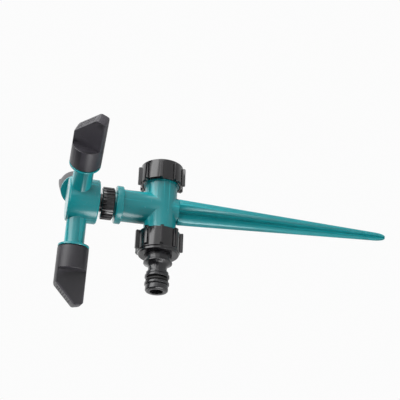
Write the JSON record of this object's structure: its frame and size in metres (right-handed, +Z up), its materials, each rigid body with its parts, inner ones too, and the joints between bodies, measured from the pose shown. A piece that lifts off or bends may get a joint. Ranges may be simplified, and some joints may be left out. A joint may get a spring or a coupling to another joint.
{
  "type": "rotary lawn sprinkler",
  "caption": "Rotary lawn sprinkler on a ground spike: a tee with a hose nipple and a screw cap carries a hub with radial arms that end in turnable paddle nozzles.",
  "frame": {"origin": "on the spinning axis at the ground line, where the spike's fins meet the tee's boss", "axes": "+Z up along the spinning axis, the spike points to -Z; the cross-pipe lies along X with the hose nipple at -X and the end cap at +X; -Y is the side towards the viewer"},
  "size_m": [0.1266, 0.1338, 0.2387],
  "materials": {
    "teal_plastic": "satin-gloss moulded plastic",
    "black_plastic": "gloss moulded plastic",
    "nozzle_plastic": "satin matte moulded plastic",
    "grey_plastic": "gloss moulded plastic",
    "slip_plastic": "matte white plastic",
    "rubber": "matte black rubber"
  },
  "bodies": {
    "base": {"tee_body": "teal_plastic", "ground_spike": "teal_plastic"},
    "cap_carriage": {"end_cap_washer": "rubber"},
    "cap": {"end_cap": "black_plastic"},
    "inlet": {"hose_nipple": "grey_plastic", "nipple_o_ring": "rubber", "inlet_washer": "rubber"},
    "hose_nut": {"hose_nut": "black_plastic"},
    "swivel_carriage": {"lower_slip_washer": "slip_plastic", "upper_slip_washer": "slip_plastic"},
    "swivel_nut": {"swivel_nut": "black_plastic"},
    "rotor": {"spindle": "grey_plastic", "spindle_o_ring": "rubber", "spindle_nut": "black_plastic", "rotor_body": "teal_plastic", "hub_cap": "teal_plastic", "nozzle_o_ring_1": "rubber", "nozzle_o_ring_2": "rubber", "nozzle_o_ring_3": "rubber"},
    "nozzle_1": {"nozzle_1": "nozzle_plastic"},
    "nozzle_2": {"nozzle_2": "nozzle_plastic"},
    "nozzle_3": {"nozzle_3": "nozzle_plastic"}
  },
  "joints": [
    {"name": "cap_travel", "type": "slide", "parent": "base", "child": "cap_carriage", "axis": [1, 0, 0], "range_m": [0, 0.0091]},
    {"name": "cap_turn", "type": "hinge", "parent": "cap_carriage", "child": "cap", "pos_m": [0, 0, 0.012], "axis": [1, 0, 0], "range_deg": [0, 1800]},
    {"name": "inlet_travel", "type": "slide", "parent": "base", "child": "inlet", "axis": [-1, 0, 0], "range_m": [0, 0.0091]},
    {"name": "hose_nut_turn", "type": "hinge", "parent": "inlet", "child": "hose_nut", "pos_m": [0, 0, 0.012], "axis": [-1, 0, 0], "range_deg": [0, 1800]},
    {"name": "swivel_lift", "type": "slide", "parent": "base", "child": "swivel_carriage", "axis": [0, 0, 1], "range_m": [0, 0.0031]},
    {"name": "swivel_nut_turn", "type": "hinge", "parent": "swivel_carriage", "child": "swivel_nut", "pos_m": [0, 0, 0], "axis": [0, 0, 1], "range_deg": [0, 720]},
    {"name": "rotor_spin", "type": "hinge", "parent": "swivel_carriage", "child": "rotor", "pos_m": [0, 0, 0], "axis": [0, 0, 1], "continuous": true},
    {"name": "nozzle_1_turn", "type": "hinge", "parent": "rotor", "child": "nozzle_1", "pos_m": [0, 0, 0.0701], "axis": [0.385, -0.9227, 0.0175], "range_deg": [-70, 110]},
    {"name": "nozzle_2_turn", "type": "hinge", "parent": "rotor", "child": "nozzle_2", "pos_m": [0, 0, 0.0701], "axis": [-0.9916, 0.1279, 0.0175], "range_deg": [-70, 110]},
    {"name": "nozzle_3_turn", "type": "hinge", "parent": "rotor", "child": "nozzle_3", "pos_m": [0, 0, 0.0701], "axis": [0.6066, 0.7948, 0.0175], "range_deg": [-70, 110]}
  ],
  "couplings": [
    {"joint": "cap_travel", "follows": "cap_turn", "m_per_rad": 0.00028871},
    {"joint": "inlet_travel", "follows": "hose_nut_turn", "m_per_rad": 0.00028871},
    {"joint": "swivel_lift", "follows": "swivel_nut_turn", "m_per_rad": 0.00023873}
  ]
}
